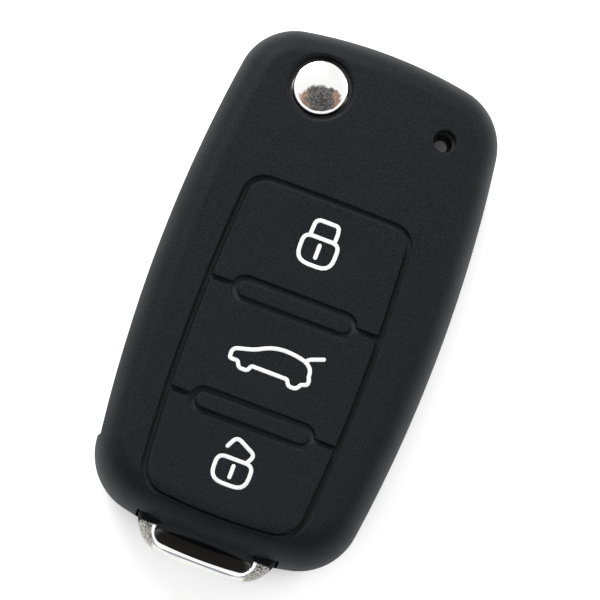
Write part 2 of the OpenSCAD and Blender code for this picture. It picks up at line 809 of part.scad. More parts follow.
// Loop for the key ring, with the plate that the case and its screw hold.
module ring_loop() {
    color(steel) difference() {
        union() {
            between(middle_z - ring_height / 2, middle_z + ring_height / 2) intersection() {
                polygon(outline(ring_arcs, 0, round_steps));
                field([-ring_width, ring_end - overrun], [ring_width, bottom_edge + ring_tail - overrun]);
            }
            between(middle_z - ring_plate_thickness / 2, middle_z + ring_plate_thickness / 2)
                around([0, ring_plate_middle], ring_gap_width, ring_plate_length);
        }
        between(middle_z - ring_height, middle_z + ring_height) polygon(outline(ring_gap_arcs, 0, round_steps));
        for (p = ring_pegs)
            post(p, middle_z - ring_height, middle_z + ring_height, ring_peg_diameter + 2 * case_fit);
    }
}
module case_screw() {
    head_low = case_back + case_fit;
    color(steel) difference() {
        union() {
            post(screw_place, head_low, head_low + screw_head_height - case_fit, screw_head_diameter);
            post(screw_place, head_low, screw_end, screw_diameter);
        }
        for (turn = [0, 90])
            translate([screw_place.x, screw_place.y, head_low]) rotate(turn)
                cube([screw_head_diameter * 2 / 3, screw_diameter / 4, screw_head_height], center = true);
    }
}

sleeve();
lock_pad();
boot_pad();
unlock_pad();
upper_case();
lower_case();
battery_door();
keypad_mat();
lock_key();
boot_key();
unlock_key();
circuit_board();
lock_switch();
boot_switch();
unlock_switch();
coin_cell();
cell_clip_plus();
cell_clip_minus();
indicator_led();
light_guide();
radio_chip();
crystal();
transponder_coil();
key_blade();
blade_hub();
blade_pin();
flip_spring();
release_button();
pivot_pin();
ring_loop();
case_screw();
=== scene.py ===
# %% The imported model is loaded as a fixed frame
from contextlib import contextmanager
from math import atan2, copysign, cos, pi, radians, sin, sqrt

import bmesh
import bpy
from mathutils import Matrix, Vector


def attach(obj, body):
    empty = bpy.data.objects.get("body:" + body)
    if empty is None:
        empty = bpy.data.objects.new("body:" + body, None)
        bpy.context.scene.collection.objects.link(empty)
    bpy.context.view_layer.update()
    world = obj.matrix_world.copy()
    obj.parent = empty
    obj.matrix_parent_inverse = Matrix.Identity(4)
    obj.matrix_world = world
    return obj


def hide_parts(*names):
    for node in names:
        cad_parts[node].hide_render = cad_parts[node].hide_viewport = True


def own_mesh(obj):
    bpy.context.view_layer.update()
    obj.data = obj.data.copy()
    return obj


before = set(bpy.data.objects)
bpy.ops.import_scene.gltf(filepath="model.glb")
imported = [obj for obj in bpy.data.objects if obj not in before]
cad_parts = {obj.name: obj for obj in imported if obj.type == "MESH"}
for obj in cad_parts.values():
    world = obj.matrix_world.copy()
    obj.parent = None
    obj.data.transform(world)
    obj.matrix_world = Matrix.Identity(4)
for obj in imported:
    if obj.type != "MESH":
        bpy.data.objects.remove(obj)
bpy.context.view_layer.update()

# %% [markdown]
# # A folding car key in its silicone cover
# The frame above holds the hard parts of the key as CAD solids, each riding on
# its own body. This file dresses it: the silicone skin, the three pads, the
# release button, the ring loop and the return spring are made again with fine
# rounded edges, and every other piece keeps its solid and gets its own finish.

MM = 0.001
scene = bpy.context.scene
scene.view_settings.view_transform = "Standard"

# %% [markdown]
# ## The camera
# The photograph looks almost straight down on the key, a little from the ring
# end, with the key turned about twenty degrees. The camera could be turned by
# angles, but it is easier to say where it stands and which way is up in the
# picture, and to build its matrix from those directions.

# %% Camera
AIM = Vector((0.43, 0.35, 9)) * MM
LEAN, ROLL = radians(11), radians(20.66)
DISTANCE, NEAREST = 2000 * MM, 10 * MM
LENS, SENSOR = 828.6, 36
back = Vector((0, -sin(LEAN), cos(LEAN)))
along = Vector((0, cos(LEAN), sin(LEAN)))
across = Vector((1, 0, 0))
up = along * cos(ROLL) - across * sin(ROLL)
right = across * cos(ROLL) + along * sin(ROLL)
camera_data = bpy.data.cameras.new("camera")
camera_data.lens, camera_data.sensor_width = LENS, SENSOR
camera_data.clip_start = NEAREST
camera = bpy.data.objects.new("camera", camera_data)
turn = Matrix((right, up, back)).transposed().to_4x4()
camera.matrix_world = Matrix.Translation(AIM + back * DISTANCE) @ turn
scene.collection.objects.link(camera)
scene.camera = camera
print("camera", round(DISTANCE / MM), "mm away")

# %% [markdown]
# ## Sizes
# These are the sizes of the key in millimetres, the same as in its drawing. The
# outline of the cover, of the button panel and of the ring loop is one kind of
# shape: a bowed oblong, made of eight arcs that run into each other.

# %% Sizes of the cover
COVER_LENGTH, COVER_WIDTH, COVER_THICKNESS, COVER_WALL = 77, 44, 18, 1.5
SIDE_BOW, TOP_BOW, BOTTOM_BOW, COVER_CORNER = 215, 69, 59, 9.1
EDGE_REACH, EDGE_FULLNESS = 4.6, 2.2
MIDDLE = COVER_THICKNESS / 2
TOP_EDGE, BOTTOM_EDGE = COVER_LENGTH / 2, -COVER_LENGTH / 2
SOFT_RIM = 0.32
print("cover", COVER_LENGTH, "by", COVER_WIDTH, "by", COVER_THICKNESS)

# %% Sizes of what shows in its front face
PANEL_LENGTH, PANEL_WIDTH, PANEL_TOP, PANEL_RISE = 49.3, 26.5, TOP_EDGE - 24.7, 2.4
PANEL_BOWS, PANEL_CORNERS = (272, 400, 80), (3, 4.3)
PANEL_MIDDLE = PANEL_TOP - PANEL_LENGTH / 2
GROOVE, GROOVE_DEPTH = 0.8, 0.9
WEB_TOP = COVER_THICKNESS - GROOVE_DEPTH
RIB_LENGTH, RIB_HEIGHT, RIB_GROOVE = 17.4, 2.4, 0.86
RIBS = [PANEL_TOP - share * PANEL_LENGTH for share in (0.334, 0.686)]
KEYS = [PANEL_TOP - share * PANEL_LENGTH for share in (0.134, 0.507, 0.823)]
PIVOT, LAMP = Vector((-7.6, 29.1)), Vector((11.95, 28))
print("ribs at", [round(y, 2) for y in RIBS], "keys at", [round(y, 2) for y in KEYS])


# %% Eight arcs of a bowed oblong
def bowed_oblong(middle, width, length, rise, bows, corners):
    """Arcs as (centre, radius, start, end), anticlockwise from the right side's lower end.

    The bows are the radii of the sides, the top and the bottom, and the corners
    those of the top and bottom corners. The sides are widest at a rise above the
    middle."""
    side, top, bottom = bows
    top_corner, bottom_corner = corners
    side_c = Vector((width / 2 - side, middle + rise))
    top_c = Vector((0, middle + length / 2 - top))
    bottom_c = Vector((0, middle - length / 2 + bottom))

    def corner(end_c, end, radius, way):
        """Centre of the arc that touches the side and one end from inside."""
        a, b, step = side - radius, end - radius, end_c - side_c
        share = (a * a - b * b + step.length_squared) / (2 * step.length)
        normal = Vector((-step.y, step.x)).normalized()
        return side_c + step.normalized() * share + normal * way * sqrt(a * a - share * share)

    def bearing(start, end):
        return atan2(end.y - start.y, end.x - start.x)

    def flip(point):
        return Vector((-point.x, point.y))

    upper = corner(top_c, top, top_corner, 1)
    lower = corner(bottom_c, bottom, bottom_corner, -1)
    a, b = bearing(side_c, lower), bearing(side_c, upper)
    c, d = bearing(top_c, upper), bearing(bottom_c, lower)
    return [(side_c, side, a, b), (upper, top_corner, b, c), (top_c, top, c, pi - c),
            (flip(upper), top_corner, pi - c, pi - b), (flip(side_c), side, pi - b, pi - a),
            (flip(lower), bottom_corner, pi - a, pi - d), (bottom_c, bottom, pi - d, 2 * pi + d),
            (lower, bottom_corner, 2 * pi + d, 2 * pi + a)]


def stadium(place, length, height):
    """The two round ends of a rib."""
    arm, r = Vector(((length - height) / 2, 0)), height / 2
    return [(place + arm, r, -pi / 2, pi / 2), (place - arm, r, pi / 2, 3 * pi / 2)]


def disc(place, diameter):
    """The two halves of a circle."""
    return [(place, diameter / 2, 0, pi), (place, diameter / 2, pi, 2 * pi)]


cover_bows, cover_corners = (SIDE_BOW, TOP_BOW, BOTTOM_BOW), (COVER_CORNER, COVER_CORNER)
cover_arcs = bowed_oblong(0, COVER_WIDTH, COVER_LENGTH, 0, cover_bows, cover_corners)
panel_arcs = bowed_oblong(PANEL_MIDDLE, PANEL_WIDTH, PANEL_LENGTH, PANEL_RISE,
                          PANEL_BOWS, PANEL_CORNERS)
print("cover corner at", [round(v, 2) for v in cover_arcs[1][0]])

# %% [markdown]
# ## Skins from stacked outlines
# A moulded piece is a stack of the same outline, drawn in or out a little at
# each height. Spinning one vertex about each arc's centre draws an outline, and
# bridging one outline to the next makes the skin. An arc of a larger radius is
# the same arc further out, so every outline of a stack has the same number of
# vertices and the bridges run straight. A bevel could round a plain block, but
# the stack gives the cover's own fuller curve and reaches round its corners.

# %% Outline of one height
NEW_VERTEX = 1e-3
FINENESS, FEWEST_STEPS = 7, 3


def outline(bm, arcs, inset, height, fineness):
    """The edges of one closed loop at a height, drawn by spinning a vertex round each arc."""
    before = set(bm.edges)
    first = tip = None
    for centre, radius, start, end in arcs:
        r = radius - inset
        place = Vector((centre.x + r * cos(start), centre.y + r * sin(start), height))
        if tip is None:
            first = tip = bm.verts.new(place)
        elif (tip.co - place).length > NEW_VERTEX:
            tip = bmesh.ops.extrude_vert_indiv(bm, verts=[tip])["verts"][0]
            tip.co = place
        steps = max(FEWEST_STEPS, round(fineness * sqrt(radius) * abs(end - start)))
        spun = bmesh.ops.spin(bm, geom=[tip], cent=(centre.x, centre.y, height), axis=(0, 0, 1),
                              dvec=(0, 0, 0), angle=end - start, steps=steps,
                              use_merge=False, use_duplicate=False)
        tip = [g for g in spun["geom_last"] if isinstance(g, bmesh.types.BMVert)][0]
    if (tip.co - first.co).length > NEW_VERTEX:
        bm.edges.new((tip, first))
    else:
        bmesh.ops.weld_verts(bm, targetmap={tip: first})
    return [e for e in bm.edges if e not in before]


# %% Skin through a stack of outlines
def skin(arcs, levels, fineness=FINENESS):
    """A closed mesh through one outline at each pair of inset and height."""
    bm = bmesh.new()
    loops = [outline(bm, arcs, inset, height, fineness) for inset, height in levels]
    ends = [loops[0], loops[-1]]
    for low, high in zip(loops, loops[1:]):
        bmesh.ops.bridge_loops(bm, edges=low + high)
    for end in ends:
        bmesh.ops.contextual_create(bm, geom=end)
    bmesh.ops.recalc_face_normals(bm, faces=bm.faces)
    return bm


# %% Levels of a small round, and of the cover's own edge
def quarter(radius, height, way, steps=5):
    """Levels of a quarter round below a flat face: way is 1 to flare out and -1 to draw in."""
    turns = [pi / 2 * i / steps for i in range(steps + 1)]
    return [(-way * radius * (1 - cos(t)), height - radius * (1 - sin(t))) for t in turns]


def rim(inset, steps=28):
    """Levels up the cover's full round edge, from the back face to the front face."""
    def fuller(v):
        return copysign(abs(v) ** (2 / EDGE_FULLNESS), v)

    turns = [-pi / 2 + pi * i / steps for i in range(steps + 1)]
    return [(EDGE_REACH - (EDGE_REACH - inset) * fuller(cos(t)),
             MIDDLE + (MIDDLE - inset) * fuller(sin(t))) for t in turns]


print("cover edge in", len(rim(0)), "levels")

# %% [markdown]
# ## Keeping, cutting and finishing a mesh
# A bmesh is only a workbench: its mesh is kept in an object before it can be
# cut. A Boolean modifier does the cutting, exactly, and its result is taken
# over at once, so that the tool can go. All work is in millimetres, and the
# last step brings a piece to metres and hangs it on its body.

# %% Keeping a mesh, and opening it again
JOIN = 1e-4


def keep(bm, name):
    """The mesh as an object in the scene, still in millimetres."""
    mesh = bpy.data.meshes.new(name)
    bm.to_mesh(mesh)
    bm.free()
    obj = bpy.data.objects.new(name, mesh)
    scene.collection.objects.link(obj)
    return obj


@contextmanager
def opened(obj):
    """The mesh of an object, open for editing and put back afterwards."""
    bm = bmesh.new()
    bm.from_mesh(obj.data)
    yield bm
    bm.to_mesh(obj.data)
    bm.free()


def to_metres(bm):
    bmesh.ops.scale(bm, vec=(MM, MM, MM), verts=bm.verts)


# %% Cutting one mesh with another
def work(obj, tool, operation="DIFFERENCE"):
    """Cut, join or cross obj with a tool, which is used up."""
    modifier = obj.modifiers.new("work", "BOOLEAN")
    modifier.operation, modifier.solver, modifier.object = operation, "EXACT", tool
    graph = bpy.context.evaluated_depsgraph_get()
    result = bpy.data.meshes.new_from_object(obj.evaluated_get(graph))
    obj.modifiers.clear()
    spent = obj.data
    obj.data = result
    bpy.data.meshes.remove(spent)
    bpy.data.objects.remove(tool)
    return obj


def block(low, high, name="block"):
    """A plain cutting block between two corners."""
    bm = bmesh.new()
    bmesh.ops.create_cube(bm, size=1)
    low, high = Vector(low), Vector(high)
    bmesh.ops.scale(bm, vec=high - low, verts=bm.verts)
    bmesh.ops.translate(bm, vec=(low + high) / 2, verts=bm.verts)
    return keep(bm, name)


# %% Rounding sharp edges, and finishing a piece
def soften(obj, width, where, segments=3, sharp=45):
    """A small round along the sharp edges whose middles where() picks."""
    with opened(obj) as bm:
        bmesh.ops.remove_doubles(bm, verts=bm.verts, dist=JOIN)
        edges = [e for e in bm.edges
                 if e.is_manifold and e.calc_face_angle(0) > radians(sharp)
                 and where((e.verts[0].co + e.verts[1].co) / 2)]
        print(obj.name, "softened along", len(edges), "edges")
        bmesh.ops.bevel(bm, geom=edges, affect="EDGES", offset=width, offset_type="OFFSET",
                        segments=segments, profile=0.5, material=-1, clamp_overlap=True)


def finish(obj, body, *nodes, crease=38, weighted=True):
    """Smooth the faces, keep real edges crisp, bring the piece to metres, hang it on its body."""
    with opened(obj) as bm:
        bmesh.ops.remove_doubles(bm, verts=bm.verts, dist=JOIN)
        bmesh.ops.dissolve_degenerate(bm, edges=bm.edges, dist=JOIN)
        bmesh.ops.holes_fill(bm, edges=[e for e in bm.edges if e.is_boundary], sides=4)
        for face in bm.faces:
            face.smooth = True
        for edge in bm.edges:
            edge.smooth = edge.is_manifold and edge.calc_face_angle(0) < radians(crease)
        open_edges = sum(1 for e in bm.edges if not e.is_manifold)
        to_metres(bm)
    if weighted:
        modifier = obj.modifiers.new("even shading", "WEIGHTED_NORMAL")
        modifier.keep_sharp = True
        modifier.weight = 100
    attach(obj, body)
    if nodes:
        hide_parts(*nodes)
    count = sum(len(p.vertices) - 2 for p in obj.data.polygons)
    print(f"{obj.name}: {count} triangles, {open_edges} open edges")
    return obj


# %% [markdown]
# ## The silicone cover
# One thin rubber shell with a full round edge. It is the outer skin less the
# skin of the hollow. The windows, grooves and holes are cut with tools whose own
# sides flare out at the surface, so each cut leaves the soft rim that moulded
# silicone has, with no bevel to go wrong on the dense round edge.

# %% Shell of the cover
sleeve = keep(skin(cover_arcs, rim(0)), "cover_skin")
work(sleeve, keep(skin(cover_arcs, rim(COVER_WALL)), "hollow"))
print("shell faces", len(sleeve.data.polygons))


# %% The front face near the bottom edge, where the panel's end runs down with it
def fall(x, y):
    """How far the round edge has come down from the front face, near the bottom edge."""
    inset = BOTTOM_BOW - Vector((x, y - BOTTOM_EDGE - BOTTOM_BOW)).length
    cosine = max(0, 1 - inset / EDGE_REACH) ** (EDGE_FULLNESS / 2)
    return MIDDLE * (1 - (1 - cosine ** 2) ** (1 / EDGE_FULLNESS))


print("panel end lies", round(fall(0, PANEL_TOP - PANEL_LENGTH), 2), "below the front face")

# %% Tools for a groove and for a rib
PROUD = 0.004
FLARE, CLEAR, PAST = 0.4, 2, 1
FLOOR_ROUND = 0.15
flare = quarter(SOFT_RIM, COVER_THICKNESS + PROUD, 1)
floor_round = [(GROOVE / 4 * (1 - sin(t)) ** 2, WEB_TOP + FLOOR_ROUND * (1 - cos(t)))
               for t in (0, pi / 6, pi / 3, pi / 2)]


def pocket(arcs, grow):
    """A cutter that leaves a round-bottomed wall and a soft rim at the front face."""
    wide = flare[-1][0] - grow - FLARE
    mouth = [(wide, COVER_THICKNESS + FLARE), (wide, COVER_THICKNESS + CLEAR)]
    levels = [(inset - grow, height) for inset, height in floor_round + flare]
    return skin(arcs, levels + mouth)


def pillar(arcs, low):
    """A raised piece with a soft rim at the front face."""
    return skin(arcs, [(0, low)] + quarter(SOFT_RIM, COVER_THICKNESS, -1))


# %% Button panel: a shallow pocket with soft edges
bm = pocket(panel_arcs, GROOVE / 2)
for v in bm.verts:
    v.co.z -= fall(v.co.x, v.co.y)
panel_tool = keep(bm, "panel_tool")
for y in RIBS:
    rib = pillar(stadium(Vector((0, y)), RIB_LENGTH, RIB_HEIGHT), WEB_TOP - PAST)
    work(panel_tool, keep(rib, "rib_tool"))
work(sleeve, panel_tool)
print("with the panel", len(sleeve.data.polygons))

# %% Windows for the pads, each a little larger than its pad
PAD_NAMES = ["lock", "boot", "unlock"]
PAD_SLIT, PAD_REACH = 0.13, 20
WINDOW_LOW, WINDOW_HIGH = 15.9, 17.5


def pad_form(i, grow, low, high):
    """A straight prism of one pad: the panel between two ribs, less the room around them."""
    edge = GROOVE / 2 - grow
    form = keep(skin(panel_arcs, [(edge, low), (edge, high)]), "pad_form")
    top = RIBS[i - 1] - edge if i else TOP_EDGE
    bottom = RIBS[i] + edge if i < len(RIBS) else BOTTOM_EDGE
    band = block((-PAD_REACH, bottom, low - PAST), (PAD_REACH, top, high + PAST))
    work(form, band, "INTERSECT")
    for k in (i - 1, i):
        if 0 <= k < len(RIBS):
            around = stadium(Vector((0, RIBS[k])), RIB_LENGTH, RIB_HEIGHT)
            room = [(grow - RIB_GROOVE, low - PAST), (grow - RIB_GROOVE, high + PAST)]
            work(form, keep(skin(around, room), "rib_room"))
    return form


for i in range(len(PAD_NAMES)):
    work(sleeve, pad_form(i, PAD_SLIT, WINDOW_LOW, WINDOW_HIGH))
print("with the windows", len(sleeve.data.polygons))

# %% Holes for the button and the lamp, with flared mouths
BUTTON_HOLE, BUTTON_MOUTH = 9.2, 0.7
LAMP_HOLE, LAMP_MOUTH = 3.2, 0.3
HOLE_LOW, HOLE_HIGH, HOLE_FINENESS = 15.5, 18.4, 9


def hole(place, diameter, mouth):
    """A round cutter whose sides flare out at the front face."""
    lip = quarter(mouth, COVER_THICKNESS + PROUD, 1)
    levels = [(0, HOLE_LOW)] + lip + [(lip[-1][0] - FLARE, HOLE_HIGH)]
    return keep(skin(disc(place, diameter), levels, HOLE_FINENESS), "hole")


work(sleeve, hole(PIVOT, BUTTON_HOLE, BUTTON_MOUTH))
work(sleeve, hole(LAMP, LAMP_HOLE, LAMP_MOUTH))
print("with the holes", len(sleeve.data.polygons))

# %% Slot that the key swings through, and the opening for the ring loop
FAR_LEFT, FAR_UP, FAR_DOWN = -40, 60, -50
SLOT_LOW, SLOT_HIGH, SLOT_END, SLOT_RIGHT = 4.7, 13.3, -29.0, 3.1
MOUTH_HALF, MOUTH_LOW, MOUTH_HIGH, MOUTH_TOP = 10.9, 5.9, 12.1, -33.9
work(sleeve, block((FAR_LEFT, SLOT_END, SLOT_LOW),
                   (COVER_CORNER - COVER_WIDTH / 2, FAR_UP, SLOT_HIGH)))
work(sleeve, block((FAR_LEFT, TOP_EDGE - COVER_CORNER, SLOT_LOW),
                   (SLOT_RIGHT, FAR_UP, SLOT_HIGH)))
work(sleeve, block((-MOUTH_HALF, FAR_DOWN, MOUTH_LOW), (MOUTH_HALF, MOUTH_TOP, MOUTH_HIGH)))
print("with the slot and the opening", len(sleeve.data.polygons))

# %% A soft lip round the slot and the opening, where a finger feels them
LIP_ROUND, NEAR = 0.22, 0.01
LIP_LEFT, LIP_TOP, LIP_BOTTOM = -12, 29, -34


def on_lips(p):
    """Whether a point lies on an edge of the slot or the opening, and on the outside."""
    level = min(abs(p.z - z) for z in (SLOT_LOW, SLOT_HIGH, MOUTH_LOW, MOUTH_HIGH))
    end = min(abs(p.y - SLOT_END), abs(p.x - SLOT_RIGHT), abs(abs(p.x) - MOUTH_HALF))
    outside = p.x < LIP_LEFT or p.y > LIP_TOP or p.y < LIP_BOTTOM
    return (level < NEAR or end < NEAR) and outside


soften(sleeve, LIP_ROUND, on_lips)
finish(sleeve, "cover", "sleeve")

# %% [markdown]
# ## The three pads
# Each pad is a slab of the same silicone that sinks a little when it is pressed.
# Its corners and its rim are rounded with bevels, which work well on a small
# prism. Planes cut it into a grid, so that its top can be pulled down into the
# shallow dish that guides the finger.

# %% Dish of a pad
DISH, DISH_ACROSS, DISH_ALONG = 0.16, 10.5, 6.6


def dish(i, x, y):
    """How far the top of a pad lies below the front face."""
    reach = Vector((x / DISH_ACROSS, (y - KEYS[i]) / DISH_ALONG)).length
    return DISH * (0.5 + 0.5 * cos(pi * min(reach, 1)))


print("dish at a pad's middle", dish(0, 0, KEYS[0]))

# %% Pads
PAD_CORNER = 0.3
GRID_LINES, GRID_ACROSS, GRID_ALONG = 20, 1, 0.5
FOOT_ACROSS, FOOT_ALONG, FOOT_LOW, FOOT_HIGH = 6.9, 2.8, 16.5, 17.4


def upright(p):
    return abs(p.z - WEB_TOP) > NEAR and abs(p.z - COVER_THICKNESS) > NEAR


def at_front(p):
    return p.z > COVER_THICKNESS - NEAR


def make_pad(i):
    """One pad with round corners, a soft rim, a dished top and the foot that it presses with."""
    pad = pad_form(i, 0, WEB_TOP, COVER_THICKNESS)
    pad.name = pad.data.name = PAD_NAMES[i] + "_pad_skin"
    soften(pad, PAD_CORNER, upright, segments=4, sharp=50)
    soften(pad, SOFT_RIM, at_front, segments=5)
    with opened(pad) as bm:
        for axis, middle, gap in ((0, 0, GRID_ACROSS), (1, KEYS[i], GRID_ALONG)):
            for step in range(-GRID_LINES, GRID_LINES + 1):
                place, normal = Vector((0, 0, 0)), Vector((0, 0, 0))
                place[axis], normal[axis] = middle + step * gap, 1
                bmesh.ops.bisect_plane(bm, geom=bm.verts[:] + bm.edges[:] + bm.faces[:],
                                       dist=JOIN, plane_co=place, plane_no=normal)
        for v in bm.verts:
            if v.co.z > COVER_THICKNESS - SOFT_RIM - NEAR:
                v.co.z -= dish(i, v.co.x, v.co.y) + fall(v.co.x, v.co.y)
    work(pad, block((-FOOT_ACROSS, KEYS[i] - FOOT_ALONG, FOOT_LOW),
                    (FOOT_ACROSS, KEYS[i] + FOOT_ALONG, FOOT_HIGH), "foot"), "UNION")
    return finish(pad, PAD_NAMES[i], PAD_NAMES[i] + "_pad")


pads = [make_pad(i) for i in range(len(PAD_NAMES))]

# %% [markdown]
# ## The printed signs
# White ink pictograms: a closed padlock, a car with its lid up and an open
# padlock. A curve with a round bevel draws an even line round any corner, so
# each sign is a few curves, made a mesh, pressed almost flat and laid on its
# pad's dish.


# %% Rounding the corners of a drawn line
def rounded(points, radius, closed=True, steps=5):
    """The points with each corner turned into a small arc, of its own radius if it has one."""
    path = []
    count = len(points)
    for k, point in enumerate(points):
        here = Vector(point[:2])
        r = point[2] if len(point) > 2 else radius
        if not closed and k in (0, count - 1):
            path.append(here)
            continue
        a = Vector(points[k - 1][:2]) - here
        b = Vector(points[(k + 1) % count][:2]) - here
        reach = min(r, a.length / 2.02, b.length / 2.02)
        start, end = here + a.normalized() * reach, here + b.normalized() * reach
        for n in range(steps + 1):
            t = n / steps
            path.append(start * (1 - t) ** 2 + here * 2 * t * (1 - t) + end * t * t)
    return path


# %% Drawing a line of ink
INK_HALF, INK_FLAT, INK_CREASE = 0.3, 0.1, 80
ROUND_END = [(0.02, 0.2), (0.15, 0.53), (0.4, 0.8), (0.7, 0.95), (1, 1)]


def round_ended(path):
    """The path with a few points more at both ends, and the share of full width at each point."""
    def end(tip, inner):
        way = (inner - tip).normalized() * INK_HALF
        return [tip + way * share for share, _ in ROUND_END]

    widths = [width for _, width in ROUND_END]
    points = end(path[0], path[1]) + path[1:-1] + end(path[-1], path[-2])[::-1]
    return points, widths + [1] * (len(path) - 2) + widths[::-1]


def ink_line(path, closed):
    """The mesh of one stroke."""
    curve = bpy.data.curves.new("ink", "CURVE")
    curve.dimensions = "3D"
    curve.bevel_depth, curve.bevel_resolution, curve.use_fill_caps = INK_HALF, 4, True
    points, widths = (path, [1] * len(path)) if closed else round_ended(path)
    spline = curve.splines.new("POLY")
    spline.points.add(len(points) - 1)
    for place, point, width in zip(points, spline.points, widths):
        point.co = (place.x, place.y, 0, 1)
        point.radius = width
    spline.use_cyclic_u = closed
    drawn = bpy.data.objects.new("ink", curve)
    mesh = bpy.data.meshes.new_from_object(drawn)
    bpy.data.objects.remove(drawn)
    return mesh


def sign(i, strokes):
    """Join the strokes into one piece of print and lay it on its pad."""
    bm = bmesh.new()
    for path, closed in strokes:
        mesh = ink_line(path, closed)
        bm.from_mesh(mesh)
        bpy.data.meshes.remove(mesh)
    for v in bm.verts:
        v.co.z = v.co.z * INK_FLAT + COVER_THICKNESS - dish(i, v.co.x, v.co.y)
    piece = keep(bm, PAD_NAMES[i] + "_sign")
    return finish(piece, PAD_NAMES[i], crease=INK_CREASE, weighted=False)


# %% The two padlocks, each a body, the bar of its keyhole and a bow
LOCK_HALF, LOCK_FOOT, LOCK_HEAD, KEYHOLE_RISE = 2.68, 2, 1.2, 0.08
SHUT_LOW, SHUT_TOP, SHUT_BAR = 3.99, 8.16, 1.25
OPEN_LOW, OPEN_TOP, OPEN_BAR = -30.47, -26.6, 1.17
SHUT_BOW = [(-1.53, SHUT_TOP), (-1.42, SHUT_TOP + 2.5, 0.9), (2.0, SHUT_TOP + 2.5, 0.55),
            (2.25, SHUT_TOP + 1.5, 0.5), (2.2, SHUT_TOP)]
OPEN_BOW = [(1.47, OPEN_TOP), (2.3, OPEN_TOP + 1.5), (-1.05, OPEN_TOP + 3.2),
            (-2.05, OPEN_TOP + 1.22)]


def padlock(middle, low, high, bar_half, bow, bow_round):
    """The three strokes of a padlock, each with whether it is closed."""
    left, right = middle - LOCK_HALF, middle + LOCK_HALF
    body = [(left, low, LOCK_FOOT), (right, low, LOCK_FOOT),
            (right, high, LOCK_HEAD), (left, high, LOCK_HEAD)]
    centre = (low + high) / 2 + KEYHOLE_RISE
    bar = [Vector((middle, centre - bar_half)), Vector((middle, centre + bar_half))]
    return [(rounded(body, LOCK_HEAD), True), (bar, False),
            (rounded(bow, bow_round, False), False)]


shut_lock = padlock(0.33, SHUT_LOW, SHUT_TOP, SHUT_BAR, SHUT_BOW, 0.8)
open_lock = padlock(-0.08, OPEN_LOW, OPEN_TOP, OPEN_BAR, OPEN_BOW, 0.9)
print("padlocks of", len(shut_lock), "strokes each")

# %% The car, and all three signs
CAR = [(-6.15, -12.93, 0.35), (-4.85, -12.93, 0.3), (-4.45, -13.83, 0.7), (-3.1, -13.83, 0.7),
       (-2.75, -12.95, 0.3), (2.75, -12.95, 0.3), (3.15, -13.83, 0.7), (4.4, -13.83, 0.7),
       (4.85, -13.0, 0.3), (5.75, -12.7, 0.4), (5.75, -12.0, 0.2), (5.53, -11.6, 0.2),
       (5.42, -10.45, 0.7), (4.4, -9.6, 0.6), (2.6, -9.22, 1.2), (0.6, -9.12, 1.2),
       (-1.2, -9.52, 1.0), (-3.2, -10.58, 0.7), (-6.22, -11.43, 1.0)]
LID = [(4.3, -9.52), (4.85, -9.05), (6.98, -8.27)]
car = [(rounded(CAR, 0.5), True), (rounded(LID, 0.4, False), False)]
signs = [sign(i, strokes) for i, strokes in enumerate((shut_lock, car, open_lock))]

# %% [markdown]
# ## The release button
# A chromed cap with a low dome that the thumb pushes down. It is a turned part,
# so a profile is spun once round the pivot; use_merge closes the seam.


# %% Turning a profile
def turned(name, place, profile, steps=96):
    """Spin pairs of radius and height round an upright axis. Both ends are on the axis."""
    bm = bmesh.new()
    verts = [bm.verts.new((place.x + r, place.y, z)) for r, z in profile]
    for a, b in zip(verts, verts[1:]):
        bm.edges.new((a, b))
    bmesh.ops.spin(bm, geom=bm.verts[:] + bm.edges[:], cent=(place.x, place.y, 0),
                   axis=(0, 0, 1), dvec=(0, 0, 0), angle=2 * pi, steps=steps,
                   use_merge=True, use_duplicate=False)
    bmesh.ops.remove_doubles(bm, verts=bm.verts, dist=JOIN)
    bmesh.ops.recalc_face_normals(bm, faces=bm.faces)
    return keep(bm, name)


# %% Button
BUTTON_TOP, BUTTON_RADIUS, BUTTON_EDGE, DOME, DOME_STEPS = 18.35, 4.0, 0.22, 0.8, 14
SHOULDER_STEP, SHOULDER_TURNS = 0.05, (30, 45, 60, 75, 90)
FLANGE_RADIUS, FLANGE_LOW, FLANGE_HIGH = 4.9, 13.75, 15.15
HOLLOW_RADIUS, HOLLOW_TOP = 3.1, 15.9
ball = (BUTTON_RADIUS ** 2 + DOME ** 2) / (2 * DOME)
flat = BUTTON_RADIUS - BUTTON_EDGE
cap = []
for k in range(DOME_STEPS + 1):
    r = flat * k / DOME_STEPS
    cap.append((r, BUTTON_TOP - ball + sqrt(ball * ball - r * r)))
shoulder = cap[-1][1] - SHOULDER_STEP
for t in [radians(turn) for turn in SHOULDER_TURNS]:
    cap.append((flat + BUTTON_EDGE * sin(t), shoulder - BUTTON_EDGE * (1 - cos(t))))
profile = cap + [(BUTTON_RADIUS, FLANGE_HIGH), (FLANGE_RADIUS, FLANGE_HIGH),
                 (FLANGE_RADIUS, FLANGE_LOW), (HOLLOW_RADIUS, FLANGE_LOW),
                 (HOLLOW_RADIUS, HOLLOW_TOP), (0, HOLLOW_TOP)]
button = turned("release_cap", PIVOT, profile)
finish(button, "release", "release_button", crease=50)

# %% [markdown]
# ## The ring loop
# A cast and polished bow at the end of the key that a split ring goes through.
# It is the same bowed oblong, with a round outer side, and the gap is cut with a
# tool that flares at its front and its back. A tongue with two holes runs on
# into the case, where two pegs hold it.

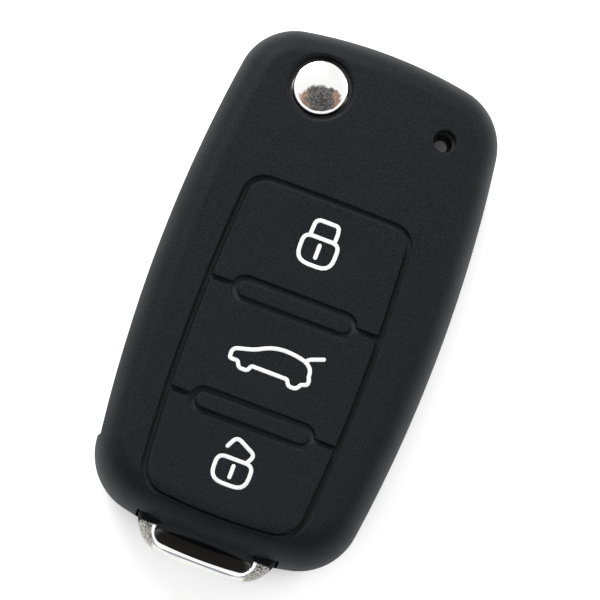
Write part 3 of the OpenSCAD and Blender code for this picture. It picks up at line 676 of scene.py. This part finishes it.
# %% Sizes of the loop
RING_END, RING_TAIL, RING_ROOT = BOTTOM_EDGE - 3.5, BOTTOM_EDGE + 6.5, -34.9
RING_WIDTH, RING_BAR, RING_REACH = 21.6, 1.05, 0.6
RING_BACK, RING_FRONT = 6.2, 11.8
RING_BOWS, RING_CORNERS = (SIDE_BOW, TOP_BOW, 32), (0.7, 5.8)
GAP_WIDTH, GAP_DEPTH, GAP_BOW, GAP_CORNER = 14.8, 3.3, 69, 1.7
GAP_RIM, GAP_FLARE, GAP_PAST = 0.25, 0.7, 0.3
CUT_LOW, CUT_HIGH = (-12, RING_ROOT, 5), (12, -30, 13)
ring_arcs = bowed_oblong((RING_TAIL + RING_END) / 2, RING_WIDTH, RING_TAIL - RING_END, 0,
                         RING_BOWS, RING_CORNERS)
gap_arcs = bowed_oblong(RING_END + RING_BAR + GAP_DEPTH / 2, GAP_WIDTH, GAP_DEPTH, 0,
                        (SIDE_BOW, TOP_BOW, GAP_BOW), (0.6, GAP_CORNER))
print("loop ends at", RING_END)


# %% Bow of the loop and its gap
def bar_round(steps=14):
    """Levels of the loop's round outer side."""
    half = (RING_FRONT - RING_BACK) / 2
    turns = [pi * i / steps for i in range(steps + 1)]
    return [(RING_REACH * (1 - abs(sin(t)) ** 0.8), MIDDLE - half * cos(t)) for t in turns]


ring = keep(skin(ring_arcs, bar_round()), "ring_loop_cast")
front_rim = quarter(GAP_RIM, RING_FRONT + PROUD, 1)
back_rim = [(inset, RING_BACK + RING_FRONT - height) for inset, height in reversed(front_rim)]
gap = ([(-GAP_FLARE, RING_BACK - GAP_PAST)] + back_rim + front_rim
       + [(-GAP_FLARE, RING_FRONT + GAP_PAST)])
work(ring, keep(skin(gap_arcs, gap), "gap"))
work(ring, block(CUT_LOW, CUT_HIGH))
print("loop faces", len(ring.data.polygons))

# %% Tongue that the case holds
TONGUE_LOW, TONGUE_HIGH = (-7.9, -36.0, 8), (7.9, -31.4, 10)
PEG_OUT, PEG_UP, PEG_HOLE = 5, -33.7, 2.4
tongue = block(TONGUE_LOW, TONGUE_HIGH, "tongue")
for side in (-1, 1):
    peg = disc(Vector((side * PEG_OUT, PEG_UP)), PEG_HOLE)
    work(tongue, keep(skin(peg, [(0, TONGUE_LOW[2] - PAST), (0, TONGUE_HIGH[2] + PAST)]), "peg"))
work(ring, tongue, "UNION")
finish(ring, "cover", "ring_loop")

# %% [markdown]
# ## The return spring
# One coil under the button pushes it up again and throws the blade out. It is
# bent from wire, so a small ring of vertices is spun round the pivot four times
# and rises a little at each step. The button squeezes it.

# %% Coil
SPRING_RADIUS, WIRE_RADIUS, WIRE_SIDES = 4.1, 0.4, 10
SPRING_LOW, SPRING_HIGH, SPRING_TURNS, TURN_STEPS = 7.65, 13.3, 4, 40
steps = SPRING_TURNS * TURN_STEPS
bm = bmesh.new()
bmesh.ops.create_circle(bm, segments=WIRE_SIDES, radius=WIRE_RADIUS)
bmesh.ops.rotate(bm, verts=bm.verts, matrix=Matrix.Rotation(pi / 2, 3, "X"))
bmesh.ops.translate(bm, verts=bm.verts, vec=(PIVOT.x + SPRING_RADIUS, PIVOT.y, SPRING_LOW))
bmesh.ops.spin(bm, geom=bm.verts[:] + bm.edges[:], cent=(PIVOT.x, PIVOT.y, 0), axis=(0, 0, 1),
               dvec=(0, 0, (SPRING_HIGH - SPRING_LOW) / steps), angle=2 * pi * SPRING_TURNS,
               steps=steps, use_merge=False, use_duplicate=False)
bmesh.ops.holes_fill(bm, edges=[e for e in bm.edges if e.is_boundary], sides=0)
bmesh.ops.recalc_face_normals(bm, faces=bm.faces)

# %% Spring under the button
spring = finish(keep(bm, "return_spring"), "cover", "flip_spring")
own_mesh(spring)

# %% [markdown]
# ## Finishes
# A finish is a few nodes: a base colour that drifts a little, a roughness that
# follows the handling, and a grain that a Bump node turns into tiny shadows.
# The maths is written as Python: a small class wraps a socket, and an
# expression on it adds the Math nodes.


# %% Writing shader maths
class Value:
    """A number or a colour that changes over the surface."""

    def __init__(self, tree, socket):
        self.tree, self.socket = tree, socket

    def maths(self, operation, *others):
        return self.tree.add("ShaderNodeMath", {"operation": operation}, [self, *others])

    def __add__(self, other):
        return self.maths("ADD", other)

    def __sub__(self, other):
        return self.maths("SUBTRACT", other)

    def __rsub__(self, other):
        return self.tree.add("ShaderNodeMath", {"operation": "SUBTRACT"}, [other, self])

    def __mul__(self, other):
        return self.maths("MULTIPLY", other)

    def __pow__(self, other):
        return self.maths("POWER", other)

    __radd__, __rmul__ = __add__, __mul__

    def absolute(self):
        return self.maths("ABSOLUTE")

    def at_least(self, least):
        return self.maths("MAXIMUM", least)

    def between(self, low, high):
        """0 below low and 1 above high, with a soft step in between."""
        smooth = {"interpolation_type": "SMOOTHSTEP"}
        return self.tree.add("ShaderNodeMapRange", smooth, [self, low, high])


# %% One method that adds any node
class Tree:
    """The nodes of a material or of the sky."""

    def __init__(self, owner):
        owner.use_nodes = True
        self.nodes, self.links = owner.node_tree.nodes, owner.node_tree.links

    def feed(self, socket, value):
        """Link a Value to a socket, or type a number or a colour into it."""
        if isinstance(value, Value):
            self.links.new(value.socket, socket)
        else:
            socket.default_value = (*value, 1) if socket.type == "RGBA" else value

    def add(self, kind, settings, inputs, out=0):
        """One output of a new node. Its inputs are a list in order, or go by name or number."""
        node = self.nodes.new(kind)
        for key, setting in settings.items():
            setattr(node, key, setting)
        pairs = inputs.items() if isinstance(inputs, dict) else enumerate(inputs)
        for key, value in pairs:
            self.feed(node.inputs[key], value)
        return Value(self, node.outputs[out])


# %% A material with one shader
class Finish(Tree):
    """A material. Sizes in it are in millimetres."""

    def __init__(self, name, colour, **plain):
        self.material = bpy.data.materials.new(name)
        super().__init__(self.material)
        self.shader = next(n for n in self.nodes if n.type == "BSDF_PRINCIPLED")
        self.place = self.add("ShaderNodeTexCoord", {}, [], out="Object")
        self.set("Base Color", colour)
        for name, number in plain.items():
            self.set(name.replace("_", " ").title().replace("Ior", "IOR"), number)

    def set(self, name, value):
        self.feed(self.shader.inputs[name], value)

    def axes(self):
        """How far a point lies across, along and up, in millimetres."""
        return [self.add("ShaderNodeSeparateXYZ", {}, [self.place], out=axis) * (1 / MM)
                for axis in range(3)]

    def noise(self, size, detail=3.0, stretch=(1, 1, 1)):
        """Cloudy noise whose lumps are about size millimetres, or stretched by axis."""
        place = self.add("ShaderNodeMapping", {}, {"Vector": self.place, "Scale": stretch})
        inputs = {"Vector": place, "Scale": 1 / (size * MM), "Detail": detail}
        return self.add("ShaderNodeTexNoise", {}, inputs)

    def mixed(self, mask, first, second):
        """The first colour where the mask is 0, and the second where it is 1."""
        inputs = {0: mask, 6: first, 7: second}
        return self.add("ShaderNodeMix", {"data_type": "RGBA"}, inputs, out=2)

    def bump(self, height, depth, strength=1.0):
        """A relief of a depth in millimetres, and the material, which is then complete."""
        inputs = {"Strength": strength, "Distance": depth * MM, "Height": height}
        self.set("Normal", self.add("ShaderNodeBump", {}, inputs))
        return self.material


def dress(obj, material):
    """Put a finish on a new piece, or in a CAD solid's slots."""
    if obj.material_slots:
        for s in obj.material_slots:
            s.material = material
    else:
        obj.data.materials.append(material)


# %% [markdown]
# ## Silicone
# Moulded silicone is matt, almost black, and draws dust. A fine grain breaks up
# its shine and specks of dust lie on it. The grooves are painted lighter, a
# painted light that makes them softer than their depth alone would, most towards
# the middle. A photograph of rubber could be wrapped round the cover, but noise
# has no seams and fits every piece. The place of this painted light is found from
# the sizes of the cover: it lies below the front face, followed down the round
# bottom edge, and inside the panel's outline.

# %% Where the grooves are painted lighter
GROOVE_LIGHT_LOW, GROOVE_LIGHT_HIGH = (15.8, 16.4), (17.2, 17.8)
GROOVE_LIGHT_SIDE, GROOVE_LIGHT_NARROWS, GROOVE_LIGHT_TAPER = (13.9, 14.3), -28, 0.35
GROOVE_LIGHT_BOTTOM, GROOVE_LIGHT_TOP = (-37.2, -36.8), (15.4, 15.9)
GROOVE_LIGHT_MIDDLE = (9, 12)


def in_grooves(f):
    """1 below the front face inside the panel, and 0 elsewhere."""
    x, y, z = f.axes()
    up = y - (BOTTOM_EDGE + BOTTOM_BOW)
    past = (x * x + up * up) ** 0.5 - (BOTTOM_BOW - EDGE_REACH)
    share = past.at_least(0) * (1 / EDGE_REACH)
    fallen = 1 - (1 - share ** EDGE_FULLNESS) ** (1 / EDGE_FULLNESS)
    side = x.absolute() + (GROOVE_LIGHT_NARROWS - y).at_least(0) * GROOVE_LIGHT_TAPER
    deep = z.between(*GROOVE_LIGHT_LOW) * (1 - (z + fallen * MIDDLE).between(*GROOVE_LIGHT_HIGH))
    inside = (1 - side.between(*GROOVE_LIGHT_SIDE)) * y.between(*GROOVE_LIGHT_BOTTOM)
    return deep * inside * (1 - y.between(*GROOVE_LIGHT_TOP))


# %% Silicone, matt and slightly dusty, with painted light in its grooves
def silicone():
    f = Finish("matt silicone", (0.009, 0.01, 0.012), specular_ior_level=0.1)
    drift = f.noise(9, 2).between(0.3, 0.7)
    grain = f.noise(0.26, 2)
    specks = f.noise(0.5, 4).between(0.68, 0.8)
    # Painted light: the grooves get a lighter colour, lighter towards the middle, so that they
    # look less deep in shade.
    far = f.axes()[0].absolute().between(*GROOVE_LIGHT_MIDDLE)
    rubber = f.mixed(grain.between(0.3, 0.7), (0.0045, 0.0052, 0.0066), (0.0125, 0.0138, 0.0168))
    groove_light = f.mixed(far, (0.041, 0.0445, 0.051), (0.0195, 0.0212, 0.0243))
    rubber = f.mixed(in_grooves(f), rubber, groove_light)
    f.set("Base Color", f.mixed(specks * 0.3, rubber, (0.05, 0.052, 0.056)))
    f.set("Roughness", 0.48 + drift * 0.06 + grain * 0.1)
    return f.bump(grain, 0.05, 0.9)


SILICONE = silicone()
for obj in [sleeve] + pads:
    dress(obj, SILICONE)
print("silicone on", len(pads) + 1, "pieces")

# %% [markdown]
# ## Ink and metals
# Screen ink lies a little thin in places. Metals differ by how clean they are:
# chrome is almost a mirror, a nickelled blade has long fine marks from its
# brushing, and a cast hub has grainy, cloudy ones. One function with a few
# numbers serves them all, so they stay a family.


# %% White ink
def ink():
    f = Finish("white ink", (0.86, 0.87, 0.88))
    thin = f.noise(0.35, 3).between(0.35, 0.65)
    f.set("Base Color", f.mixed(thin, (0.82, 0.83, 0.84), (0.9, 0.9, 0.9)))
    f.set("Roughness", 0.42 + thin * 0.12)
    return f.bump(thin, 0.004)


INK_WHITE = ink()
for obj in signs:
    dress(obj, INK_WHITE)
print("ink on", len(signs), "signs")


# %% Metals
def metal(name, colour, dull, rough, scratch=0.03, size=2.5, stretch=(1, 1, 1), depth=0.003):
    """A metal that is dull in clouds of a size, with marks that may be stretched."""
    f = Finish(name, colour, metallic=1.0)
    cloud = f.noise(size, 3).between(0.35, 0.7)
    marks = f.noise(0.25, 4, stretch)
    f.set("Base Color", f.mixed(cloud, colour, dull))
    f.set("Roughness", rough + cloud * rough * 0.2 + marks * scratch)
    return f.bump(marks, depth, 0.6)


chrome = metal("chromed button", (0.97, 0.965, 0.95), (0.92, 0.92, 0.91), 0.045, 0.02,
               depth=0.0008)
dress(button, chrome)

# %% [markdown]
# ## The loop's own finish
# The loop was cast, tumbled and polished. It shines round the gap and on its
# front and back, is a little duller on its round outer side, has a painted dark
# line between the two, a painted reflection, and both corners are still rough as
# cast. Masks could be painted by hand, but each of these places follows the gap's
# outline, so they are bands of the distance from it. Where the loop runs in under
# the cover's lip, its top is painted dark like the silicone, a painted shade.

# %% Bands round the gap
SHADED, CORNERS_FROM = (-38.7, -38.4), (6.7, 7.3)
ROUGH_FROM, DULL_FROM = (0.62, 0.75), (0.6, 0.8)
REFLECTION_LINE_FROM, REFLECTION_LINE_TO = (0.55, 0.68), (0.7, 0.9)
FACE_FROM = (1.2, 2)


def from_gap(x, y):
    """How far a point of the loop's face lies outside the gap's outline."""
    side = (x.absolute() - (GAP_WIDTH / 2 - GAP_CORNER)).at_least(0)
    bowed = y - x * x * (1 / (2 * GAP_BOW))
    below = (RING_END + RING_BAR + GAP_CORNER - bowed).at_least(0)
    return (side * side + below * below) ** 0.5 - GAP_CORNER


def cast_loop():
    f = Finish("polished loop", (0.9, 0.9, 0.89), metallic=1.0, specular_ior_level=0.05)
    x, y, z = f.axes()
    out = from_gap(x, y)
    # Painted shade: where the loop runs in under the cover's lip its top is painted dark like the
    # silicone, rough and not metallic.
    inner = y.between(*SHADED)
    rough = x.absolute().between(*CORNERS_FROM) * out.between(*ROUGH_FROM)
    face = (z - MIDDLE).absolute().between(*FACE_FROM)
    dull = 1 - face * (1 - out.between(*DULL_FROM))
    # Painted reflection: a dark bluish line between the shining face and the duller round side.
    crease = face * (out.between(*REFLECTION_LINE_FROM) - out.between(*REFLECTION_LINE_TO))
    speck = f.noise(0.22, 3).between(0.35, 0.65)
    bar = f.mixed(dull, (0.95, 0.95, 0.94), (0.9, 0.9, 0.86))
    bar = f.mixed(crease, bar, (0.14, 0.15, 0.2))
    cast = f.mixed(speck, (0.03, 0.03, 0.028), (0.56, 0.55, 0.5))
    f.set("Base Color", f.mixed(inner, f.mixed(rough, bar, cast), (0.012, 0.013, 0.015)))
    worn = 0.1 + dull * 0.12 + rough * 0.2 + speck * 0.05
    f.set("Roughness", worn.at_least(inner * 0.7))
    f.set("Metallic", 1 - inner)
    return f.bump(speck * rough, 0.03)


dress(ring, cast_loop())
print("loop shines within", ROUGH_FROM[0], "mm of its gap")

# %% [markdown]
# ## The pieces inside
# They show only where the cover is open and while the blade is out, but each is
# a real thing with its own stuff: moulded plastic, rubber, lacquered board,
# resin, ferrite, steel and bronze. A table names the finish of each slot and
# the solids that wear it.


# %% Plastics
def plastic(name, colour, lighter, rough, grain=0.3, depth=0.01):
    """A plastic, rubber or resin with a fine grain."""
    f = Finish(name, colour)
    cloud = f.noise(4, 3).between(0.3, 0.7)
    spark = f.noise(grain, 2)
    f.set("Base Color", f.mixed(cloud, colour, lighter))
    f.set("Roughness", rough + spark * 0.12)
    return f.bump(spark, depth, 0.5)


# %% Table of the inside
INSIDE = {
    "case_plastic": (plastic("moulded case", (0.012, 0.012, 0.013), (0.018, 0.018, 0.02), 0.42),
                     ["upper_case", "lower_case", "battery_door"]),
    "key_rubber": (plastic("key rubber", (0.035, 0.036, 0.04), (0.045, 0.046, 0.05), 0.6, 0.2),
                   ["keypad_mat", "lock_key", "boot_key", "unlock_key"]),
    "board_laminate": (plastic("board lacquer", (0.012, 0.09, 0.035), (0.02, 0.14, 0.05),
                               0.3, 0.8, 0.02), ["circuit_board"]),
    "chip_epoxy": (plastic("chip resin", (0.014, 0.014, 0.014), (0.02, 0.02, 0.02), 0.55, 0.1),
                   ["radio_chip"]),
    "led_resin": (plastic("lamp resin", (0.75, 0.74, 0.66), (0.85, 0.84, 0.78), 0.2, 0.5, 0.004),
                  ["indicator_led"]),
    "guide_acrylic": (plastic("light guide", (0.6, 0.61, 0.63), (0.85, 0.86, 0.88),
                              0.3, 0.3, 0.02), ["light_guide"]),
    "coil_ferrite": (plastic("wound ferrite", (0.07, 0.035, 0.018), (0.16, 0.08, 0.035),
                             0.45, 0.08, 0.03), ["transponder_coil"]),
    "switch_steel": (metal("switch steel", (0.62, 0.63, 0.65), (0.5, 0.5, 0.52), 0.28),
                     ["lock_switch", "boot_switch", "unlock_switch", "crystal"]),
    "cell_steel": (metal("cell can", (0.7, 0.71, 0.72), (0.6, 0.61, 0.62), 0.2,
                         stretch=(1, 6, 1)), ["coin_cell"]),
    "spring_bronze": (metal("clip bronze", (0.72, 0.5, 0.25), (0.6, 0.4, 0.2), 0.25),
                      ["cell_clip_plus", "cell_clip_minus"]),
    "blade_nickel": (metal("nickelled blade", (0.4, 0.39, 0.365), (0.36, 0.35, 0.33), 0.34, 0.08,
                           stretch=(8, 0.6, 1)), ["key_blade"]),
    "hub_zinc": (metal("cast hub", (0.36, 0.36, 0.365), (0.32, 0.32, 0.33), 0.4, 0.12, 5,
                       depth=0.01), ["blade_hub", "blade_pin", "pivot_pin"]),
    "spring_steel": (metal("spring steel", (0.45, 0.45, 0.47), (0.35, 0.35, 0.37), 0.25),
                     ["case_screw"]),
}
for material, names in INSIDE.values():
    for name in names:
        dress(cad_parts[name], material)
dress(spring, INSIDE["spring_steel"][0])
print("dressed", sum(len(names) for _, names in INSIDE.values()), "solids")

# %% [markdown]
# ## Floor and light
# The key lies on a plain white sheet. The camera sees the sheet as white, but
# the light on the key is only what the lamps and the sky give, so that its
# colours stay as they are written. Close to the key the sheet darkens with the
# shade, and most under the loop, where the photograph has it dark. A large soft
# lamp stands beyond the pivot end, and a small one fills the other side.


# %% White for the eye, plain for the light
def white_to_the_eye(tree, plain, seen):
    """A strength that is seen by camera, metal and glass, and plain for the light it throws."""
    camera_ray, glossy_ray, clear_ray = [
        tree.add("ShaderNodeLightPath", {}, [], out=f"Is {kind} Ray")
        for kind in ("Camera", "Glossy", "Transmission")]
    looking = camera_ray + glossy_ray + clear_ray
    return tree.add("ShaderNodeMapRange", {}, [looking, 0, 1, plain, seen])


# %% Floor
FLOOR_HALF, FLOOR_SEEN = 1.5, 0.66
SHADE_REACH, SHADE_FULL = 9, 0.65
LOOP_SHADE, LOOP_ACROSS, LOOP_ALONG, LOOP_FADE = -37.9, 9.6, 2.6, (0.2, 1)
bm = bmesh.new()
bmesh.ops.create_grid(bm, x_segments=2, y_segments=2, size=FLOOR_HALF)
floor = keep(bm, "floor")
paper = Finish("white sheet", (0.8, 0.8, 0.8), roughness=0.9, emission_color=(1, 1, 1))
shade = paper.add("ShaderNodeAmbientOcclusion", {"samples": 12},
                  {"Distance": SHADE_REACH * MM}, out=1)
x, y, _ = paper.axes()
under = (x * (1 / LOOP_ACROSS)) ** 4 + ((y - LOOP_SHADE) * (1 / LOOP_ALONG)) ** 2
lit = shade.between(0, SHADE_FULL) * under.between(*LOOP_FADE)
paper.set("Base Color", paper.mixed(lit, (0.03, 0.028, 0.025), (0.8, 0.8, 0.8)))
paper.set("Emission Strength", white_to_the_eye(paper, 0, FLOOR_SEEN) * lit)
dress(floor, paper.material)
print("floor", 2 * FLOOR_HALF, "m wide")

# %% Sky
SKY_LIGHT, SKY_SEEN = 0.42, 1.0
scene.world = bpy.data.worlds.new("studio")
sky = Tree(scene.world)
background = sky.nodes["Background"]
sky.feed(background.inputs["Color"], (1, 1, 1))
sky.feed(background.inputs["Strength"], white_to_the_eye(sky, SKY_LIGHT, SKY_SEEN))
print("sky of", SKY_LIGHT, "for the light and", SKY_SEEN, "for the eye")


# %% Lamps
def lamp(name, place, size, power):
    """A rectangle of light that looks at the key."""
    data = bpy.data.lights.new(name, "AREA")
    data.shape, data.size, data.size_y, data.energy = "RECTANGLE", size[0], size[1], power
    obj = bpy.data.objects.new(name, data)
    obj.rotation_euler = Vector(place).to_track_quat("Z", "Y").to_euler()
    obj.location = place
    scene.collection.objects.link(obj)
    print(name, "of", power, "W")


lamp("soft_box", (-0.14, 0.2, 0.2), (0.24, 0.2), 1.15)
lamp("soft_fill", (0.2, 0.16, 0.16), (0.16, 0.16), 0.25)

# %% [markdown]
# ## What the button mirrors
# Chrome has no colour of its own: it shows the room. A speckled card hangs over
# the key, seen only by reflections, and the dome gathers it into a small ragged
# patch, grey in its middle and brown at both sides, as a workshop table is.

# %% Card over the key
CARD_PLACE, CARD_SIZE = Vector((-1.0, 19.5)), Vector((33, 20))
CARD_HEIGHT, CARD_THICKNESS, CARD_SPARE = 60, 0.2, 1.3
reach = max(CARD_SIZE) * CARD_SPARE
card = block((CARD_PLACE.x - reach, CARD_PLACE.y - reach, CARD_HEIGHT),
             (CARD_PLACE.x + reach, CARD_PLACE.y + reach, CARD_HEIGHT + CARD_THICKNESS), "card")
with opened(card) as bm:
    to_metres(bm)
card.visible_camera = card.visible_diffuse = False
card.visible_shadow = card.visible_transmission = False

# %% Its ragged outline and its specks
felt = Finish("dark card", (0.05, 0.05, 0.05), roughness=0.9)
sight = felt.add("ShaderNodeMapping", {"vector_type": "TEXTURE"}, {
    "Vector": felt.place, "Location": (*(CARD_PLACE * MM), CARD_HEIGHT * MM),
    "Rotation": (0, 0, ROLL), "Scale": (*(CARD_SIZE * MM), 1)})
cloud = felt.noise(7, 5)
ragged = (cloud - 0.5) * 0.7 + felt.add("ShaderNodeVectorMath", {"operation": "LENGTH"},
                                        [sight], out=1)
side = felt.add("ShaderNodeSeparateXYZ", {}, [sight]).absolute() + (cloud - 0.5)
speck = felt.noise(2.2, 4).between(0.38, 0.62)
grey = felt.mixed(speck, (0.02, 0.02, 0.02), (0.24, 0.23, 0.22))
brown = felt.mixed(speck, (0.3, 0.17, 0.11), (0.6, 0.42, 0.32))
felt.set("Alpha", 1 - ragged.between(0.85, 1.1))
felt.set("Base Color", felt.mixed(side.between(0.45, 0.75), grey, brown))
dress(card, felt.material)
